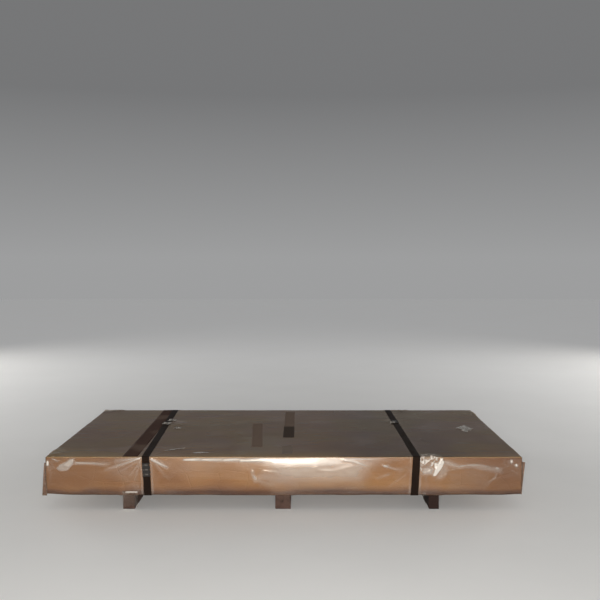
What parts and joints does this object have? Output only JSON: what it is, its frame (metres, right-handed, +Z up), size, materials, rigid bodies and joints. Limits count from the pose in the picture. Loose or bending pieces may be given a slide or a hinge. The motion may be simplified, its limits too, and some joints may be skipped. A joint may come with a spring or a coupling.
{
  "type": "wrapped packet of steel plates",
  "caption": "Flat packet of stacked steel plates wrapped in kraft paper and clear film, held by crimped steel straps and set on timber skids for forklift handling.",
  "frame": {"origin": "on the floor under the packet's centre, where the skids stand", "axes": "+X along the plates' 2 m side, +Y from the front face to the back along the skids, +Z up through the stack"},
  "size_m": [2.016, 1.0158, 0.2274],
  "materials": {
    "plate_steel": "mill finish, lightly oiled",
    "kraft_paper": "creased brown kraft paper",
    "clear_film": "thin clear film, puckered and glossy",
    "packing_tape": "brown packing tape",
    "strap_steel": "black painted steel strapping",
    "seal_steel": "black seal, bright where crimped",
    "skid_timber": "rough sawn, dark and weathered"
  },
  "bodies": {
    "root": {"steel_plates": "plate_steel", "kraft_wrap": "kraft_paper", "film_wrap": "clear_film", "tape_strips": "packing_tape", "end_tapes": "packing_tape", "strap_left": "strap_steel", "strap_right": "strap_steel", "seal_left_front": "seal_steel", "seal_left_top": "seal_steel", "seal_right_top": "seal_steel", "skid_left": "skid_timber", "skid_middle": "skid_timber", "skid_right": "skid_timber"}
  },
  "joints": []
}
